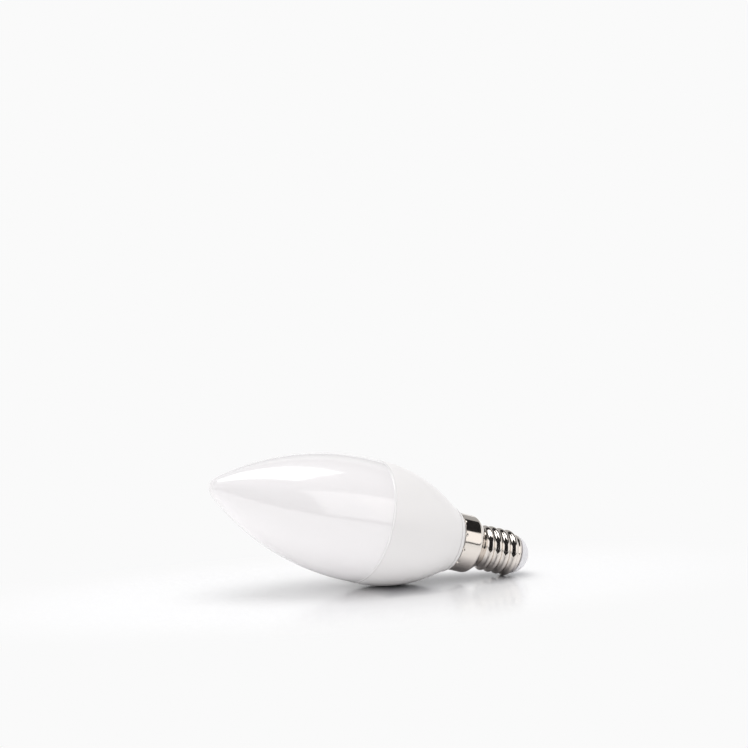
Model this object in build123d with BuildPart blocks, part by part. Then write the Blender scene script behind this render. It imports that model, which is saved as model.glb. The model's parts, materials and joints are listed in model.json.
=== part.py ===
"""LED candle bulb with a small screw cap, lying on its side as it comes to rest."""
import os
from math import asin, atan, atan2, cos, hypot, sin, sqrt, tan

from build123d import *

# Moulded body, in millimetres: the housing from the cap up to the seam, the diffuser above it
widest_diameter = 37.0
neck_diameter = 18.0
housing_length = 29.0
neck_cone = 6.0  # straight, conical start of the housing's flank
crown_drop = 1.0  # the flank is widest this far below the seam
diffuser_length = 51.0
diffuser_crown = 2.5  # the diffuser is widest this far above the seam
tip_radius = 3.5
seam_gap = 0.15
bead_length = 0.7  # raised bead that edges the diffuser's rim
bead_height = 0.1
bead_rounding = 0.25
neck_lip_length = 1.3
neck_lip_height = 0.2
neck_rounding = 0.4

# Walls, and the joint where the diffuser's skirt stands inside the housing's rim
diffuser_wall = 1.0
housing_rim_wall = 1.6
skirt_length = 3.2
skirt_joggle = 1.2  # length over which the diffuser's wall steps in to its skirt
joint_clearance = 0.12

# Screw cap: a rolled sheet shell with a knuckle thread of the small screw size
thread_diameter = 13.89
thread_root_diameter = 12.29
thread_pitch = 2.822
thread_land = 0.03  # height of the narrow land between two ridges above the thread's root
crest_margin = 0.05  # the turned-in end is rounded this far outside the crests
last_crest = 20.6  # from the top of the cap to the last crest on the underside
sheet = 0.3
collar_setback = 0.2  # the collar lies this far inside the neck
collar_length = 6.2
shoulder_rounding = 1.6
shoulder_length = 3.5
runout_length = 1.8  # the ridge rises to its full height over this length
rim_overhang = 2.1  # from the last crest on the underside to the end face
end_rounding = 0.8
end_hole_diameter = 9.4
crimp_count = 12
crimp_diameter = 1.1
crimp_depth = 0.25
crimp_drop = 0.65  # from the top of the cap to the middle of a crimp
crimp_turn = 20.5  # degrees from the top of the lying bulb to the first crimp

# Moulded plug and centre contact at the end of the cap
plug_dome_radius = 6.0
plug_dome_sink = 1.5  # the dome's centre lies this far inside the shell's end face
plug_stem_length = 2.4
plug_clearance = 0.1
contact_diameter = 4.0
contact_thickness = 0.3
contact_rounding = 0.2
pin_diameter = 1.6
pin_length = 5.0
pin_clearance = 0.05
spigot_clearance = 0.15
spigot_gap = 0.3

# Radii and places that follow; places along the axis count from the top of the cap to the tip
widest_radius = widest_diameter / 2
neck_radius = neck_diameter / 2
collar_radius = neck_radius - collar_setback
crest_radius = thread_diameter / 2
root_radius = thread_root_diameter / 2
end_hole_radius = end_hole_diameter / 2
contact_radius = contact_diameter / 2
tip_place = housing_length + diffuser_length
shell_end = -(last_crest + rim_overhang)


def arc_about(centre, start, end):
    """Arc from start to end, the short way round its centre."""
    centre, start, end = Vector(*centre), Vector(*start), Vector(*end)
    to_middle = (start + end) / 2 - centre
    return ThreePointArc(start, centre + to_middle.normalized() * (start - centre).length, end)


def half_angle_tangent(rise, run, straight):
    """Tangent of half the cone's angle, where a cone and then an arc climb the rise together."""
    tangent = rise / (run + 2 * straight)
    for _ in range(40):
        tangent = rise / (run + 2 * straight / (1 - tangent * tangent))
    return tangent


# Housing flank: a cone from the neck, then an arc that is level where it is widest
flank_crown = housing_length - crown_drop
flank_rise = widest_radius - neck_radius
flank_run = flank_crown - neck_cone
cone_angle = 2 * atan(half_angle_tangent(flank_rise, flank_run, neck_cone))
flank_arc = flank_run / sin(cone_angle)
flank_centre = widest_radius - flank_arc
cone_end = (neck_cone, flank_centre + flank_arc * cos(cone_angle))
rim_radius = flank_centre + sqrt(flank_arc**2 - crown_drop**2)

# Diffuser: an arc that is level where it is widest and runs into the round tip
bulge_crown = housing_length + diffuser_crown
bulge_radius = rim_radius
tip_centre = tip_place - tip_radius
bulge_run = tip_centre - bulge_crown
bulge_arc = (bulge_run**2 + bulge_radius**2 - tip_radius**2) / (2 * (bulge_radius - tip_radius))
bulge_centre = bulge_radius - bulge_arc

# Thread form: a convex and a concave arc of one radius that meet at mid height
thread_depth = crest_radius - root_radius
knuckle = ((thread_pitch / 4) ** 2 + (thread_depth / 2) ** 2) / thread_depth
crest_centre = crest_radius - knuckle

# Plug: a dome that is cut flat where the contact's head sits
dome_centre = shell_end + plug_dome_sink
dome_base_radius = sqrt(plug_dome_radius**2 - plug_dome_sink**2)
nose_place = dome_centre - sqrt(plug_dome_radius**2 - contact_radius**2)
stem_radius = end_hole_radius - plug_clearance
stem_end = shell_end + plug_stem_length
cap_end = nose_place - contact_thickness

# Rest: the housing's flank and the last crest both touch the floor
centre_rise = flank_centre - crest_centre
centre_run = flank_crown + last_crest
lean = atan2(centre_rise, centre_run) + asin((flank_arc - knuckle) / hypot(centre_rise, centre_run))
join_height = flank_arc + flank_centre * cos(lean) - flank_crown * sin(lean)
reach_tip = tip_centre * cos(lean) + tip_radius
reach_cap = -cap_end * cos(lean) + (contact_radius - contact_rounding) * sin(lean) + contact_rounding * (1 - cos(lean))
join = Vector((reach_tip - reach_cap) / 2, 0, join_height)
along = Vector(-cos(lean), 0, sin(lean))

# Half section through the axis: x runs from the cap to the tip, y outwards to the top side
section = Plane(origin=join, x_dir=along, z_dir=(0, 1, 0))
bulb_axis = Axis(join, along)
# The same axis as the plane's normal, with x to the top side of the lying bulb
across = Plane(origin=join, x_dir=section.y_dir, z_dir=along)

# Housing: one moulding with a rim around the skirt's seat and a spigot that fills the cap
deck = housing_length - skirt_length
socket_radius = rim_radius - housing_rim_wall
step_place = -(collar_length - shoulder_rounding)
collar_spigot = collar_radius - sheet - spigot_clearance
thread_spigot = root_radius - sheet - spigot_clearance
spigot_end = stem_end + spigot_gap
neck_slope = (cone_end[1] - neck_radius) / neck_cone
lip_radius = neck_radius + neck_lip_height
lip_top = lip_radius + neck_slope * neck_lip_length

with BuildPart() as housing:
    with BuildSketch(section):
        with BuildLine():
            lip = Line((0, lip_radius), (neck_lip_length, lip_top))
            Line(lip @ 1, (neck_lip_length, lip_top - neck_lip_height))
            Line((neck_lip_length, lip_top - neck_lip_height), cone_end)
            flank = arc_about((flank_crown, flank_centre), cone_end, (housing_length, rim_radius))
            Polyline(
                flank @ 1,
                (housing_length, socket_radius),
                (deck, socket_radius),
                (deck, 0),
                (spigot_end, 0),
                (spigot_end, thread_spigot),
                (step_place, thread_spigot),
                (step_place, collar_spigot),
                (0, collar_spigot),
                lip @ 0,
            )
        moulding = make_face()
        fillet(moulding.vertices().sort_by_distance((0, lip_radius))[0], neck_rounding)
    revolve(axis=bulb_axis)
housing.part.label = "housing"

# Diffuser: one hollow moulding, whose wall steps in to a skirt inside the housing's rim
rim_place = housing_length + seam_gap
skirt_radius = socket_radius - joint_clearance
skirt_inside = skirt_radius - diffuser_wall
joggle_start = rim_place + diffuser_wall
joggle_end = joggle_start + skirt_joggle
bead_radius = rim_radius + bead_height
bead_end = rim_place + bead_length


def wall_line(inset, start_place):
    """Half section of the diffuser from a place on its long arc to the tip, set in by a wall."""
    start = (start_place, bulge_centre + sqrt((bulge_arc - inset) ** 2 - (start_place - bulge_crown) ** 2))
    turn = bulge_run / (bulge_arc - tip_radius)
    radius = tip_radius - inset
    meet = (tip_centre + radius * turn, radius * sqrt(1 - turn**2))
    arc_about((bulge_crown, bulge_centre), start, meet)
    arc_about((tip_centre, 0), meet, (tip_centre + radius, 0))
    return start


with BuildPart() as diffuser:
    with BuildSketch(section):
        with BuildLine():
            outer_start = wall_line(0, bead_end)
            inner_start = wall_line(diffuser_wall, joggle_end)
            Line((tip_place, 0), (tip_place - diffuser_wall, 0))
            Polyline(
                outer_start,
                (bead_end, bead_radius),
                (rim_place, bead_radius),
                (rim_place, skirt_radius),
                (deck, skirt_radius),
                (deck, skirt_inside),
                (joggle_start, skirt_inside),
                inner_start,
            )
        wall = make_face()
        fillet(wall.vertices().sort_by_distance((rim_place, bead_radius))[0], bead_rounding)
    revolve(axis=bulb_axis)
diffuser.part.label = "diffuser"


# Screw cap: sheet rolled to a collar, a shoulder and a knuckle thread, turned in at its end
shoulder_angle = atan2(collar_radius - root_radius, shoulder_length)
shoulder_end = -(collar_length + shoulder_length)
ridge_length = last_crest + shoulder_end + 2 * thread_pitch
ridge_start = across.from_local_coords((0, 0, -last_crest - thread_pitch))


def ridge_section(inset):
    """Section of one ridge about the centre of its crest, x along the axis and y outwards."""
    rise = knuckle - thread_depth / 2
    crest_arc, root_arc = knuckle - inset, knuckle + inset
    meet_x, meet_y = thread_pitch / 4 * crest_arc / knuckle, rise * crest_arc / knuckle
    root_x, root_y = thread_pitch / 2, 2 * rise
    foot_y = root_y - root_arc + thread_land
    foot_x = root_x - sqrt(root_arc**2 - (root_y - foot_y) ** 2)
    arc_about((0, 0), (-meet_x, meet_y), (0, crest_arc))
    arc_about((0, 0), (0, crest_arc), (meet_x, meet_y))
    arc_about((root_x, root_y), (meet_x, meet_y), (foot_x, foot_y))
    arc_about((-root_x, root_y), (-meet_x, meet_y), (-foot_x, foot_y))
    Polyline((foot_x, foot_y), (foot_x, foot_y - sheet / 2), (-foot_x, foot_y - sheet / 2), (-foot_x, foot_y))


def ridge_form(inset):
    """The thread's one helical ridge, which runs out at the shoulder and at the turned-in end."""
    reach = crest_radius + crest_margin - inset
    buried = root_radius - inset - sheet / 2
    end_place = shell_end + inset
    with BuildPart() as ridge:
        with BuildLine():
            path = Helix(thread_pitch, ridge_length, crest_centre, center=ridge_start, direction=along)
        outwards = (path @ 0) - ridge_start
        with BuildSketch(Plane(origin=path @ 0, x_dir=along, z_dir=along.cross(outwards))):
            with BuildLine():
                ridge_section(inset)
            make_face()
        sweep(path=path, is_frenet=True)
        with BuildSketch(section):
            with BuildLine():
                Polyline(
                    (shoulder_end, 0),
                    (shoulder_end, buried),
                    (shoulder_end - runout_length, reach),
                    (end_place, reach),
                    (end_place, 0),
                    close=True,
                )
            envelope = make_face()
            fillet(envelope.vertices().sort_by_distance((end_place, reach))[0], end_rounding - inset)
        revolve(axis=bulb_axis, mode=Mode.INTERSECT)
    return ridge.part


def cap_form(inset):
    """The screw cap's form, filled, with its whole surface set in by the same amount."""
    core = root_radius + thread_land / 2 - inset
    collar = collar_radius - inset
    shift = inset * tan(shoulder_angle / 2)
    collar_corner = (-collar_length + shift, collar)
    core_corner = (shoulder_end + shift, core)
    end_corner = (shell_end + inset, core)
    with BuildPart() as form:
        with BuildSketch(section):
            with BuildLine():
                Polyline((0, 0), (0, collar), collar_corner, core_corner, end_corner, (end_corner[0], 0), close=True)
            half = make_face()
            fillet(half.vertices().sort_by_distance(collar_corner)[0], shoulder_rounding - inset)
            fillet(half.vertices().sort_by_distance(end_corner)[0], end_rounding - inset)
        revolve(axis=bulb_axis)
        add(ridge_form(inset))
    return form.part


crimp_ball = (crimp_diameter**2 / 4 + crimp_depth**2) / (2 * crimp_depth)

with BuildPart() as screw_cap:
    add(cap_form(0))
    add(cap_form(sheet), mode=Mode.SUBTRACT)
    with Locations(across.offset(shell_end)):
        Cylinder(end_hole_radius, 2 * sheet, mode=Mode.SUBTRACT)
    with Locations(across.offset(-crimp_drop)):
        with PolarLocations(collar_radius + crimp_ball - crimp_depth, crimp_count, start_angle=crimp_turn):
            Sphere(crimp_ball, mode=Mode.SUBTRACT)
screw_cap.part.label = "screw_cap"

# Plug: insulating dome on the cap's end face, with a stem through its hole and a bore for the pin
bore_radius = pin_diameter / 2 + pin_clearance

with BuildPart() as cap_insulator:
    with BuildSketch(section):
        with BuildLine():
            arc_about((dome_centre, 0), (shell_end, dome_base_radius), (nose_place, contact_radius))
            Polyline(
                (nose_place, contact_radius),
                (nose_place, bore_radius),
                (stem_end, bore_radius),
                (stem_end, stem_radius),
                (shell_end, stem_radius),
                (shell_end, dome_base_radius),
            )
        make_face()
    revolve(axis=bulb_axis)
cap_insulator.part.label = "cap_insulator"

# Centre contact: a nail whose low head rests on the plug's nose
with BuildPart() as centre_contact:
    with BuildSketch(section):
        with BuildLine():
            Polyline(
                (cap_end, 0),
                (cap_end, contact_radius),
                (nose_place, contact_radius),
                (nose_place, pin_diameter / 2),
                (nose_place + pin_length, pin_diameter / 2),
                (nose_place + pin_length, 0),
                close=True,
            )
        nail = make_face()
        fillet(nail.vertices().sort_by_distance((cap_end, contact_radius))[0], contact_rounding)
    revolve(axis=bulb_axis)
centre_contact.part.label = "centre_contact"

os.makedirs("parts", exist_ok=True)
export_step(diffuser.part, "parts/diffuser.step")
export_step(housing.part, "parts/housing.step")
export_step(screw_cap.part, "parts/screw_cap.step")
export_step(cap_insulator.part, "parts/cap_insulator.step")
export_step(centre_contact.part, "parts/centre_contact.step")
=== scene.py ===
import json
import math

import bpy
import numpy as np
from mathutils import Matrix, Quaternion, Vector


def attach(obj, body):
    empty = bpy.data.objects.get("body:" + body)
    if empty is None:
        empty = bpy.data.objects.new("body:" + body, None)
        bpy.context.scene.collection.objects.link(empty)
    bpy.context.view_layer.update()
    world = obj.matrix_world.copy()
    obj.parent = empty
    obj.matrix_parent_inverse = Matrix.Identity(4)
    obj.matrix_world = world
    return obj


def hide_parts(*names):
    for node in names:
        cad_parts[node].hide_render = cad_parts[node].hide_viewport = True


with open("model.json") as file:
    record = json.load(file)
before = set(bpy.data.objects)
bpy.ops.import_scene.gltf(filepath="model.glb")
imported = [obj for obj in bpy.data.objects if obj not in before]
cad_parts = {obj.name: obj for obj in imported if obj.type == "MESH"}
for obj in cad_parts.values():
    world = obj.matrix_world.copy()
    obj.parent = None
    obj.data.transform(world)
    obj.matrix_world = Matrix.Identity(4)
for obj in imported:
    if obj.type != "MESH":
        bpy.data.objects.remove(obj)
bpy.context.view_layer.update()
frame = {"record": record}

# The bulb's axis. The contact's flat face gives its place and direction, and every place along the bulb
# counts from the top of the screw cap, plus towards the tip and minus towards the contact.
mm = 0.001
cap_depth = 27.157 * mm  # from the top of the screw cap to the contact's face
contact_mount = next(m for m in frame["record"]["mounts"] if m["name"] == "contact_face")
axis = -Vector(contact_mount["axis"]).normalized()
cap_top = Vector(contact_mount["pos_m"]) + axis * cap_depth
sideways = Vector((0, 1, 0))
downwards = axis.cross(sideways)

# Diffuser: one hollow, thin-walled moulding of opal polycarbonate, glossy as it leaves a polished mould.
# A small crowned bead edges its rim, and a skirt below the bead stands inside the housing.
body_radius = 18.488 * mm
housing_length = 29.0 * mm
diffuser_length = 51.0 * mm
diffuser_widest = 2.5 * mm  # above the seam
tip_radius = 3.5 * mm
diffuser_wall = 1.0 * mm
seam_gap = 0.04 * mm
bead_length = 0.7 * mm
bead_height = 0.1 * mm
skirt_length = 3.2 * mm
skirt_radius = 16.768 * mm
joggle_length = 1.2 * mm


def arc(centre, radius, start, end, count):
    """Points of a half section on a circle: angles in radians from the axis's forward direction."""
    angles = np.linspace(start, end, count)
    return np.stack([centre[0] + radius * np.cos(angles), centre[1] + radius * np.sin(angles)], axis=1)


def turned(name, section, segments=192):
    """Surface of revolution about the bulb's axis: each (place, radius) of the section goes round in a ring.

    A point is cap_top + place * axis + radius * (cos(turn) * sideways + sin(turn) * downwards). Points with
    no radius are poles, and each is one vertex.
    """
    place, radius = np.asarray(section).T
    rings = radius > 1e-9
    turn = np.linspace(0, 2 * np.pi, segments, endpoint=False)
    around = np.outer(np.cos(turn), sideways) + np.outer(np.sin(turn), downwards)
    centres = np.array(cap_top) + np.outer(place, np.array(axis))
    ring_points = centres[rings][:, None, :] + radius[rings][:, None, None] * around[None]
    points = np.concatenate([ring_points.reshape(-1, 3), centres[~rings]])
    count = int(rings.sum())
    low = np.arange(count - 1)[:, None] * segments
    here, there = np.arange(segments)[None], np.roll(np.arange(segments), -1)[None]
    quads = np.stack([low + here, low + segments + here, low + segments + there, low + there], axis=-1)
    faces = quads.reshape(-1, 4).tolist()
    pole = count * segments
    if not rings[0]:
        faces += np.stack([here[0] * 0 + pole, here[0], there[0]], axis=-1).tolist()
        pole += 1
    if not rings[-1]:
        last = (count - 1) * segments
        faces += np.stack([last + there[0], last + here[0], here[0] * 0 + pole], axis=-1).tolist()
    mesh = bpy.data.meshes.new(name)
    mesh.from_pydata(points.tolist(), [], faces)
    mesh.shade_smooth()
    mesh.set_sharp_from_angle(angle=math.radians(40))
    piece = bpy.data.objects.new(name, mesh)
    bpy.context.scene.collection.objects.link(piece)
    return piece


def linear(hex_colour):
    """Linear RGBA of an sRGB hex colour."""
    channels = [int(hex_colour[i:i + 2], 16) / 255 for i in (0, 2, 4)]
    return [c / 12.92 if c <= 0.04045 else ((c + 0.055) / 1.055) ** 2.4 for c in channels] + [1.0]


def add_node(tree, kind, inputs=None, **settings):
    """A node of that kind with its settings. inputs gives each socket a value, or another node's output."""
    node = tree.nodes.new("ShaderNode" + kind)
    for key, value in settings.items():
        setattr(node, key, value)
    for key, value in (inputs or {}).items():
        if isinstance(value, bpy.types.NodeSocket):
            tree.links.new(value, node.inputs[key])
        else:
            node.inputs[key].default_value = value
    return node


def new_material(name):
    """An empty material with its output node."""
    material = bpy.data.materials.new(name)
    material.use_nodes = True
    material.node_tree.nodes.clear()
    return material, material.node_tree, add_node(material.node_tree, "OutputMaterial")


def dress(piece, material, node):
    """Gives a piece its material, hangs it under the bulb's root and hides the CAD node that it stands for."""
    piece.data.materials.append(material)
    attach(piece, "root")
    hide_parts(node)


tip_centre = housing_length + diffuser_length - tip_radius
widest_place = housing_length + diffuser_widest
long_run = tip_centre - widest_place
long_arc = (long_run**2 + body_radius**2 - tip_radius**2) / (2 * (body_radius - tip_radius))
long_centre = (widest_place, body_radius - long_arc)
tip_turn = math.acos(long_run / (long_arc - tip_radius))
rim_place = housing_length + seam_gap
skirt_end = housing_length - skirt_length


def diffuser_arcs(inset, start_place, count):
    """From the tip along the round nose and the long arc to a place near the rim, set in by a wall."""
    radius = long_arc - inset
    start = math.acos((start_place - long_centre[0]) / radius)
    nose = arc((tip_centre, 0), tip_radius - inset, 0, tip_turn, 14)
    nose[0, 1] = 0
    return np.concatenate([nose, arc(long_centre, radius, tip_turn, start, count)[1:]])


outer = diffuser_arcs(0, rim_place + bead_length, 90)
inner = diffuser_arcs(diffuser_wall, rim_place + diffuser_wall + joggle_length, 50)[::-1]
bead_radius = body_radius + bead_height
bead_arc = (bead_length**2 / 4 + bead_height**2) / (2 * bead_height)
bead_turn = math.asin(bead_length / 2 / bead_arc)
bead_centre = (rim_place + bead_length / 2, bead_radius - bead_arc)
bead = arc(bead_centre, bead_arc, math.pi / 2 - bead_turn, math.pi / 2 + bead_turn, 14)
skirt = [
    (rim_place, skirt_radius),
    (skirt_end, skirt_radius),
    (skirt_end, skirt_radius - diffuser_wall),
    (rim_place + diffuser_wall, skirt_radius - diffuser_wall),
]
diffuser = turned("diffuser", np.concatenate([outer, bead, skirt, inner]), segments=288)

# Opal polycarbonate: a polished mould leaves a hard gloss, and the wall scatters light and lets some of it
# through, so that the far side glows faintly in the near one. The wall's thickness varies a little, which
# shows as faint clouds. The gloss lies over all of this on the outside only, as strong as Fresnel makes it.
opal, tree, output = new_material("opal_polycarbonate")
place = add_node(tree, "TexCoord").outputs["Object"]
clouds = add_node(tree, "TexNoise", {"Vector": place, "Scale": 55.0, "Detail": 2.0, "Roughness": 0.5})
tint = add_node(tree, "Mix", {
    "Factor": clouds.outputs["Fac"], "A": linear("FFFDFE"), "B": linear("FDFBFC")
}, data_type="RGBA")
ripple = add_node(tree, "TexNoise", {"Vector": place, "Scale": 140.0, "Detail": 1.0})
skin = add_node(tree, "Bump", {"Height": ripple.outputs["Fac"], "Strength": 0.04, "Distance": 0.0002})
shader = add_node(tree, "BsdfPrincipled", {
    "Base Color": tint.outputs["Result"],
    "Roughness": 0.1,
    "IOR": 1.58,
    "Normal": skin.outputs["Normal"],
})
glow = add_node(tree, "BsdfTranslucent", {"Color": tint.outputs["Result"]})
wall = add_node(tree, "MixShader", {0: 0.24, 1: shader.outputs["BSDF"], 2: glow.outputs["BSDF"]})
faces = add_node(tree, "NewGeometry", {})
front = add_node(tree, "Math", {0: 1.0, 1: faces.outputs["Backfacing"]}, operation="SUBTRACT")
mirror = add_node(tree, "Fresnel", {"IOR": 1.58})
share = add_node(tree, "Math", {0: mirror.outputs["Fac"], 1: front.outputs["Value"]}, operation="MULTIPLY")
gloss = add_node(tree, "BsdfGlossy", {
    "Color": linear("FFFFFF"), "Roughness": 0.1
}, distribution="MULTI_GGX")
skinned = add_node(tree, "MixShader", {
    0: share.outputs["Value"], 1: wall.outputs["Shader"], 2: gloss.outputs["BSDF"]
})
tree.links.new(skinned.outputs["Shader"], output.inputs["Surface"])
dress(diffuser, opal, "diffuser")

# Housing: white moulded plastic that flares from the neck to the rim round the diffuser's skirt.
# A thin raised lip finishes the neck where the screw cap is pressed on.
flank_arc = 43.466 * mm
flank_centre = (28.0 * mm, -24.966 * mm)
cone_angle = math.radians(30.412)
neck_radius = 9.0 * mm
neck_lip_length = 1.3 * mm
neck_lip_height = 0.2 * mm
neck_rounding = 0.4 * mm
rim_inside = 16.888 * mm
edge_rounding = 0.06 * mm
collar_fit = 8.35 * mm
thread_fit = 5.695 * mm
collar_fit_end = -4.6 * mm
thread_fit_end = -20.0 * mm

rim_turn = math.acos((housing_length - edge_rounding - flank_centre[0]) / flank_arc)
flank = arc(flank_centre, flank_arc, rim_turn, math.pi / 2 + cone_angle, 70)
slope = math.tan(cone_angle)
lip_foot = neck_radius + neck_lip_height
neck_corner = (neck_rounding, lip_foot + slope * neck_rounding - neck_rounding)
neck_round = arc(neck_corner, neck_rounding, math.pi / 2 + cone_angle / 2, math.pi, 8)
rim_corner = (housing_length - edge_rounding, flank[0, 1] - edge_rounding)
rim_edge = arc(rim_corner, edge_rounding, 0, math.pi / 2, 5)
housing_section = np.concatenate([
    [(skirt_end, 0), (skirt_end, rim_inside), (housing_length, rim_inside)],
    rim_edge,
    flank[1:],
    [(neck_lip_length, neck_radius + slope * neck_lip_length)],
    [(neck_lip_length, lip_foot + slope * neck_lip_length)],
    neck_round,
    [(0, collar_fit), (collar_fit_end, collar_fit), (collar_fit_end, thread_fit)],
    [(thread_fit_end, thread_fit), (thread_fit_end, 0)],
])
housing = turned("housing", housing_section)

# Moulded white polybutylene: the tool's fine texture leaves a satin skin, so its highlights are broad.
# The texture is drawn at 0.6 mm, about four times as coarse as the real one, so that it shows at all.
white_plastic, tree, output = new_material("satin_white_plastic")
place = add_node(tree, "TexCoord").outputs["Object"]
flow = add_node(tree, "TexNoise", {"Vector": place, "Scale": 40.0, "Detail": 2.0, "Roughness": 0.6})
tint = add_node(tree, "Mix", {
    "Factor": flow.outputs["Fac"], "A": linear("E3E1E1"), "B": linear("DEDCDC")
}, data_type="RGBA")
grain = add_node(tree, "TexNoise", {"Vector": place, "Scale": 1600.0, "Detail": 2.0})
skin = add_node(tree, "Bump", {"Height": grain.outputs["Fac"], "Strength": 0.08, "Distance": 0.00005})
shader = add_node(tree, "BsdfPrincipled", {
    "Base Color": tint.outputs["Result"],
    "Roughness": 0.32,
    "IOR": 1.55,
    "Subsurface Weight": 0.1,
    "Subsurface Radius": (1.0, 1.0, 1.0),
    "Subsurface Scale": 0.0008,
    "Normal": skin.outputs["Normal"],
})
tree.links.new(shader.outputs["BSDF"], output.inputs["Surface"])
dress(housing, white_plastic, "housing")

# Screw cap: nickel-plated brass sheet, drawn to a collar and rolled to a knuckle thread. Its upper edge is
# fixed to the neck by a ring of small punch marks, and its lower edge turns in over the insulator.
sheet = 0.3 * mm
collar_radius = 8.8 * mm
collar_length = 6.2 * mm
collar_gap = 0.55 * mm  # the dark joint below the neck
shoulder_length = 3.5 * mm
shoulder_rounding = 1.6 * mm
foot_rounding = 0.8 * mm
crest_radius = 6.945 * mm
root_radius = 6.145 * mm
thread_pitch = 2.822 * mm
last_crest = 20.6 * mm  # from the top of the cap to the last crest on the underside
runout_length = 1.8 * mm
last_fade = 0.45  # of a turn, over which the ridge sinks away past the last crest
shell_end = -22.7 * mm
end_rounding = 1.3 * mm
end_hole = 4.7 * mm
punch_count = 12
punch_turn = math.radians(170.5)
punch_place = -0.8 * mm
punch_radius = 0.55 * mm
punch_depth = 0.35 * mm


def smooth_step(value):
    """Rises from 0 to 1 with no corner at either end."""
    value = np.clip(value, 0, 1)
    return value * value * (3 - 2 * value)


def knuckle_height(place, turn):
    """Height of the rolled thread above its root: two arcs of one radius that meet at mid height.

    The nearest crest is found from the place along the axis less a pitch for each turn round it. Past the
    last crest on the underside, the ridge sinks back into the wall over a part of a turn.
    """
    depth = crest_radius - root_radius
    knuckle = ((thread_pitch / 4) ** 2 + (depth / 2) ** 2) / depth
    phase = (place + last_crest) / thread_pitch - (turn - math.pi / 2) / (2 * math.pi)
    away = np.abs(phase - np.round(phase)) * thread_pitch
    crest = depth - knuckle + np.sqrt(knuckle**2 - np.minimum(away, thread_pitch / 4) ** 2)
    root = knuckle - np.sqrt(knuckle**2 - np.minimum(thread_pitch / 2 - away, thread_pitch / 4) ** 2)
    turns_past = np.round(phase) + (turn - math.pi / 2) / (2 * math.pi)
    last_turn = smooth_step(1 + turns_past / last_fade)
    return np.where(away < thread_pitch / 4, crest, root) * last_turn


def rounded_corners(points, radii, count):
    """The open polyline through points, with an arc of its own radius at each inner corner."""
    points = np.asarray(points, dtype=float)
    parts = [points[:1]]
    for before, corner, after, radius in zip(points[:-2], points[1:-1], points[2:], radii):
        to_before = (before - corner) / np.linalg.norm(before - corner)
        to_after = (after - corner) / np.linalg.norm(after - corner)
        half = math.acos(np.clip(to_before @ to_after, -1, 1)) / 2
        bisector = (to_before + to_after) / np.linalg.norm(to_before + to_after)
        centre = corner + bisector * radius / math.sin(half)
        start = corner + to_before * radius / math.tan(half) - centre
        end = corner + to_after * radius / math.tan(half) - centre
        blend = np.linspace(0, 1, count)[:, None]
        spread = start * (1 - blend) + end * blend
        parts.append(centre + spread / np.linalg.norm(spread, axis=1)[:, None] * radius)
    parts.append(points[-1:])
    return np.concatenate(parts)


shoulder_end = -(collar_length + shoulder_length)
outline = rounded_corners(
    [(-collar_gap, collar_radius), (-collar_length, collar_radius), (shoulder_end, root_radius),
     (shell_end, root_radius), (shell_end, end_hole)],
    [shoulder_rounding, foot_rounding, end_rounding], 9,
)
steps = np.concatenate([[0], np.cumsum(np.linalg.norm(np.diff(outline, axis=0), axis=1))])
spacing = 0.13 * mm
rows = np.unique(np.concatenate([
    np.arange(0, 1.7 * mm, spacing), np.linspace(1.7 * mm, 6.6 * mm, 6),
    np.arange(6.6 * mm, steps[-1], spacing), steps,
]))
rows = rows[np.concatenate([[True], np.diff(rows) > 0.02 * mm])]
row_place = np.interp(rows, steps, outline[:, 0])[:, None]
row_radius = np.interp(rows, steps, outline[:, 1])[:, None]
segments = 280
turn = np.linspace(0, 2 * np.pi, segments, endpoint=False)[None]
fade = smooth_step((shoulder_end - row_place) / runout_length)
fade = fade * smooth_step((row_place - shell_end) / end_rounding)
surface_radius = row_radius + knuckle_height(row_place, turn) * fade
punch_pitch = 2 * math.pi / punch_count
punch_away = (turn - punch_turn + punch_pitch / 2) % punch_pitch - punch_pitch / 2
punch_distance = np.hypot(punch_away * collar_radius, row_place - punch_place)
surface_radius = surface_radius - punch_depth * smooth_step(1.2 * (1 - punch_distance / punch_radius))
around = np.cos(turn)[..., None] * np.array(sideways) + np.sin(turn)[..., None] * np.array(downwards)
points = np.array(cap_top) + row_place[..., None] * np.array(axis) + surface_radius[..., None] * around
low = np.arange(len(rows) - 1)[:, None] * segments
here, there = np.arange(segments)[None], np.roll(np.arange(segments), -1)[None]
quads = np.stack([low + here, low + segments + here, low + segments + there, low + there], axis=-1)
mesh = bpy.data.meshes.new("screw_cap")
mesh.from_pydata(points.reshape(-1, 3).tolist(), [], quads.reshape(-1, 4).tolist())
mesh.shade_smooth()
screw_cap = bpy.data.objects.new("screw_cap", mesh)
bpy.context.scene.collection.objects.link(screw_cap)
thickness = screw_cap.modifiers.new("sheet", "SOLIDIFY")
thickness.thickness = sheet
thickness.offset = -1.0

# Bright nickel over brass: a mirror with a slight warm tint. Drawing and rolling leave fine lines round
# the axis, drawn here at 0.15 mm, and handling leaves it a little duller in patches.
nickel, tree, output = new_material("nickel_plated_brass")
place = add_node(tree, "TexCoord").outputs["Object"]
lean = math.atan2(axis.z, -axis.x)
upright = add_node(tree, "Mapping", {
    "Vector": place, "Rotation": (0, lean, 0), "Scale": (1.0, 0.02, 0.02)
}, vector_type="POINT")
lines = add_node(tree, "TexNoise", {"Vector": upright.outputs["Vector"], "Scale": 6500.0, "Detail": 1.0})
patches = add_node(tree, "TexNoise", {"Vector": place, "Scale": 350.0, "Detail": 3.0})
dullness = add_node(tree, "MapRange", {"Value": patches.outputs["Fac"], "To Min": 0.06, "To Max": 0.16})
skin = add_node(tree, "Bump", {"Height": lines.outputs["Fac"], "Strength": 0.05, "Distance": 0.00002})
shader = add_node(tree, "BsdfPrincipled", {
    "Base Color": linear("E6DFD8"),
    "Metallic": 1.0,
    "Roughness": dullness.outputs["Result"],
    "Normal": skin.outputs["Normal"],
})
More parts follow.
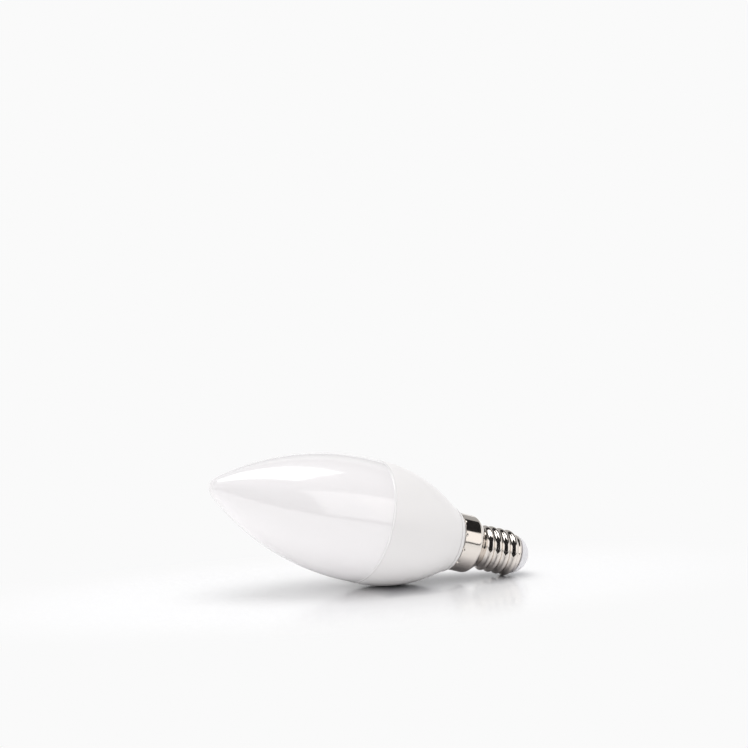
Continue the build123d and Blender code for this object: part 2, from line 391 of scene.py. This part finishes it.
tree.links.new(shader.outputs["BSDF"], output.inputs["Surface"])
dress(screw_cap, nickel, "screw_cap")

# Cap insulator: a moulded dome of pale polyamide, seated on the cap's turned-in end. Its stem stands in the
# end's hole, and the contact's pin goes through it.
dome_radius = 6.0 * mm
dome_centre = -21.2 * mm
contact_radius = 2.0 * mm
stem_radius = 4.6 * mm
stem_end = -20.3 * mm
bore_radius = 0.85 * mm

dome_start = math.acos((shell_end - dome_centre) / dome_radius)
dome_end = math.pi - math.asin(contact_radius / dome_radius)
nose_place = dome_centre + dome_radius * math.cos(dome_end)
insulator_section = np.concatenate([
    [(stem_end, bore_radius), (stem_end, stem_radius), (shell_end, stem_radius)],
    arc((dome_centre, 0), dome_radius, dome_start, dome_end, 30),
    [(nose_place, bore_radius), (stem_end, bore_radius)],
])
insulator = turned("cap_insulator", insulator_section)

# Natural polyamide: pale and slightly cold, with a low sheen from a plain mould
polyamide, tree, output = new_material("pale_polyamide")
place = add_node(tree, "TexCoord").outputs["Object"]
clouds = add_node(tree, "TexNoise", {"Vector": place, "Scale": 300.0, "Detail": 2.0})
tint = add_node(tree, "Mix", {
    "Factor": clouds.outputs["Fac"], "A": linear("DEDDE0"), "B": linear("D5D4D8")
}, data_type="RGBA")
skin = add_node(tree, "Bump", {"Height": clouds.outputs["Fac"], "Strength": 0.05, "Distance": 0.0001})
shader = add_node(tree, "BsdfPrincipled", {
    "Base Color": tint.outputs["Result"],
    "Roughness": 0.28,
    "IOR": 1.53,
    "Subsurface Weight": 0.3,
    "Subsurface Radius": (1.0, 1.0, 1.0),
    "Subsurface Scale": 0.001,
    "Normal": skin.outputs["Normal"],
})
tree.links.new(shader.outputs["BSDF"], output.inputs["Surface"])
dress(insulator, polyamide, "cap_insulator")

# Centre contact: a nail of nickel-plated brass pressed through the insulator. Its low head is flat, to meet
# the lamp holder's spring.
head_thickness = 0.3 * mm
head_rounding = 0.2 * mm
pin_radius = 0.8 * mm
pin_length = 5.0 * mm

face_place = nose_place - head_thickness
contact_section = np.concatenate([
    [(nose_place + pin_length, 0), (nose_place + pin_length, pin_radius), (nose_place, pin_radius)],
    [(nose_place, contact_radius)],
    arc((face_place + head_rounding, contact_radius - head_rounding), head_rounding, math.pi / 2, math.pi, 7),
    [(face_place, 0)],
])
contact = turned("centre_contact", contact_section, segments=96)

# Nickel-plated brass again, but pressed cold and worn by the spring, so it is duller than the cap
worn_nickel, tree, output = new_material("pressed_nickel_contact")
place = add_node(tree, "TexCoord").outputs["Object"]
wear = add_node(tree, "TexNoise", {"Vector": place, "Scale": 900.0, "Detail": 4.0})
dullness = add_node(tree, "MapRange", {"Value": wear.outputs["Fac"], "To Min": 0.2, "To Max": 0.42})
shader = add_node(tree, "BsdfPrincipled", {
    "Base Color": linear("D9D2C8"),
    "Metallic": 1.0,
    "Roughness": dullness.outputs["Result"],
})
tree.links.new(shader.outputs["BSDF"], output.inputs["Surface"])
dress(contact, worn_nickel, "centre_contact")


# Floor: a large, pale sheet of acrylic, whose dull gloss mirrors the bulb's underside, with a painted shadow
# round the bulb and a painted glow from below.
# It isn't part of the bulb.
def plate(name, corners):
    """A flat four-sided sheet from its corners."""
    mesh = bpy.data.meshes.new(name)
    mesh.from_pydata(corners, [], [(0, 1, 2, 3)])
    panel = bpy.data.objects.new(name, mesh)
    bpy.context.scene.collection.objects.link(panel)
    return panel


floor = plate("floor", [(-3, -3, 0), (3, -3, 0), (3, 3, 0), (-3, 3, 0)])
acrylic_floor, tree, output = new_material("acrylic_floor_painted_shade")
place = add_node(tree, "TexCoord").outputs["Object"]
rays = add_node(tree, "LightPath")

# What the camera and reflections see: the sheet's colour darkens within 11 mm of the bulb as a painted contact
# shadow. On the diffuser's side painted light lifts it, where light would come through the opal. From 65 mm
# away it is an even white
open_sky = add_node(tree, "AmbientOcclusion", {"Distance": 0.011}, samples=16)
depth = add_node(tree, "MapRange", {"Value": open_sky.outputs["AO"], "From Min": 0.2, "From Max": 0.9})
along = add_node(tree, "SeparateXYZ", {"Vector": place})
# Painted light: a ramp along the bulb that lifts the painted shadow on the diffuser's side
painted_opal_light_mask = add_node(tree, "MapRange", {
    "Value": along.outputs["X"], "From Min": 0.003, "From Max": -0.006
})
depth = add_node(tree, "Math", {
    0: depth.outputs["Result"], 1: painted_opal_light_mask.outputs["Result"]
}, operation="MAXIMUM")
# Painted contact shadow: the dark colour near the bulb stands in for its shade on the sheet
painted_shadow_tint = add_node(tree, "Mix", {
    "Factor": depth.outputs["Value"], "A": linear("9E9EA3"), "B": linear("E4E4E5")
}, data_type="RGBA")
acrylic = add_node(tree, "BsdfPrincipled", {
    "Base Color": painted_shadow_tint.outputs["Result"],
    "Roughness": 0.16,
    "IOR": 1.3,
})
plain = add_node(tree, "Emission", {"Color": linear("FAFAFA"), "Strength": 1.0})
oval = add_node(tree, "Mapping", {"Vector": place, "Scale": (0.42, 1, 1)})
reach = add_node(tree, "VectorMath", {0: oval.outputs["Vector"]}, operation="LENGTH")
fade = add_node(tree, "MapRange", {
    "Value": reach.outputs["Value"], "From Min": 0.03, "From Max": 0.065
}, interpolation_type="SMOOTHSTEP")
shown = add_node(tree, "MixShader", {
    0: fade.outputs["Result"], 1: acrylic.outputs["BSDF"], 2: plain.outputs["Emission"]
})

# What lights the bulb from below: a matt white, plus a painted glow that stands in for light from under the
# sheet. The glow is shut off round the place where the housing touches it, as painted shade
under = add_node(tree, "Mapping", {"Vector": place, "Location": (-0.006, 0, 0), "Scale": (0.7, 1, 1)})
away = add_node(tree, "VectorMath", {0: under.outputs["Vector"]}, operation="LENGTH")
through = add_node(tree, "MapRange", {
    "Value": away.outputs["Value"], "From Min": 0.004, "From Max": 0.022, "To Min": 0.0, "To Max": 1.7
}, interpolation_type="SMOOTHSTEP")
matt = add_node(tree, "BsdfDiffuse", {"Color": linear("F9F9F9")})
# Painted light: the sheet glows as no lamp does, with its strength set by the distance from the contact
lit = add_node(tree, "Emission", {"Color": linear("FFFFFF"), "Strength": through.outputs["Result"]})
bounce = add_node(tree, "MixShader", {0: 0.2, 1: matt.outputs["BSDF"], 2: lit.outputs["Emission"]})
seen = add_node(tree, "Math", {0: rays.outputs["Is Diffuse Ray"], 1: 0.5}, operation="LESS_THAN")
shader = add_node(tree, "MixShader", {
    0: seen.outputs["Value"], 1: bounce.outputs["Shader"], 2: shown.outputs["Shader"]
})
tree.links.new(shader.outputs["Shader"], output.inputs["Surface"])
floor.data.materials.append(acrylic_floor)

# Parts of the room that only reflections see: they give the metal its black bands and the plastic its faint
# ones. The ceiling ends at a grey screen at the back, the table ends in front of the bulb, and the wall
# stands to the left behind the camera.
ceiling_height = 0.62
ceiling = [(-1.2, -0.9), (1.0, -0.5), (1.0, 0.2), (-1.2, 0.95)]
screen_foot = 0.2
wall_height = 0.9
table_height = 0.026
black_card, tree, output = new_material("black_card")
shader = add_node(tree, "BsdfDiffuse", {"Color": linear("1E1D1E")})
tree.links.new(shader.outputs["BSDF"], output.inputs["Surface"])
grey_screen, tree, output = new_material("grey_screen")
shader = add_node(tree, "Emission", {"Color": linear("B4B4B4")})
tree.links.new(shader.outputs["Emission"], output.inputs["Surface"])
for name, paint, corners in (
    ("ceiling", black_card, [(x, y, ceiling_height) for x, y in ceiling]),
    ("back_screen", grey_screen, [
        (-1.2, 0.95, screen_foot), (1.0, 0.2, screen_foot),
        (1.0, 0.2, ceiling_height), (-1.2, 0.95, ceiling_height),
    ]),
    ("left_wall", black_card, [
        (-1.1, -0.1, 0), (-0.05, -1.15, 0), (-0.05, -1.15, wall_height), (-1.1, -0.1, wall_height)
    ]),
    ("table_end", black_card, [
        (-0.3, -0.285, 0), (0.5, -0.285, 0), (0.5, -0.285, table_height), (-0.3, -0.285, table_height)
    ]),
):
    card = plate(name, corners)
    card.data.materials.append(paint)
    card.visible_camera = card.visible_diffuse = card.visible_shadow = False

# World: white wherever the camera, metal or clear plastic looks past the floor. As light it is stronger from
# above than from the sides.
world = bpy.data.worlds.new("studio")
bpy.context.scene.world = world
world.use_nodes = True
tree = world.node_tree
tree.nodes.clear()
rays = add_node(tree, "LightPath")
seen = add_node(tree, "Math", {
    0: rays.outputs["Is Camera Ray"], 1: rays.outputs["Is Glossy Ray"]
}, operation="ADD")
seen = add_node(tree, "Math", {
    0: seen.outputs["Value"], 1: rays.outputs["Is Transmission Ray"]
}, operation="ADD", use_clamp=True)
view = add_node(tree, "TexCoord").outputs["Generated"]
height = add_node(tree, "SeparateXYZ", {"Vector": view})
overhead = add_node(tree, "MapRange", {"Value": height.outputs["Z"], "To Min": 0.3, "To Max": 1.3})
strength = add_node(tree, "MapRange", {
    "Value": seen.outputs["Value"], "To Min": overhead.outputs["Result"], "To Max": 0.956
})
sky = add_node(tree, "Background", {"Color": linear("FFFFFF"), "Strength": strength.outputs["Result"]})
output = add_node(tree, "OutputWorld", {"Surface": sky.outputs["Background"]})


# Lights: a softbox straight overhead, turned so that its picture on the diffuser is a long blade, and a large,
# dim window at the front right.
def soft_light(name, place, towards, size, watts, colour, turn=0.0):
    """An area light of size (across, up) at a place, aimed at a point and turned about its own axis."""
    lamp = bpy.data.lights.new(name, "AREA")
    lamp.shape = "RECTANGLE"
    lamp.size, lamp.size_y = size
    lamp.energy = watts
    lamp.color = linear(colour)[:3]
    holder = bpy.data.objects.new(name, lamp)
    holder.location = place
    holder.rotation_mode = "QUATERNION"
    aim = (Vector(towards) - Vector(place)).to_track_quat("-Z", "Y")
    holder.rotation_quaternion = aim @ Quaternion((0, 0, 1), turn)
    bpy.context.scene.collection.objects.link(holder)


above = (-0.042, -0.012, 0.6)
below = (-0.042, -0.012, 0)
soft_light("softbox", above, below, (0.46, 0.38), 1.4, "FFFFFF", math.radians(136))
soft_light("window", (0.62, -0.65, 0.32), (0, 0, 0.02), (0.6, 0.52), 0.24, "FFF2E6")

# Camera: the photograph's view, from slightly above the bulb and from the side of its tip
view_place = (-0.26048, -0.5466, 0.10959)
view_turn = math.radians(25.48)
view_drop = math.radians(4.37)
view_focal = 98.9

camera_data = bpy.data.cameras.new("camera")
camera_data.lens = view_focal
camera_data.sensor_width = 36.0
camera = bpy.data.objects.new("camera", camera_data)
camera.location = view_place
forward = Vector((
    math.sin(view_turn) * math.cos(view_drop), math.cos(view_turn) * math.cos(view_drop), -math.sin(view_drop)
))
camera.rotation_mode = "QUATERNION"
camera.rotation_quaternion = forward.to_track_quat("-Z", "Y")
bpy.context.scene.collection.objects.link(camera)
bpy.context.scene.camera = camera

bpy.context.scene.view_settings.view_transform = "Standard"
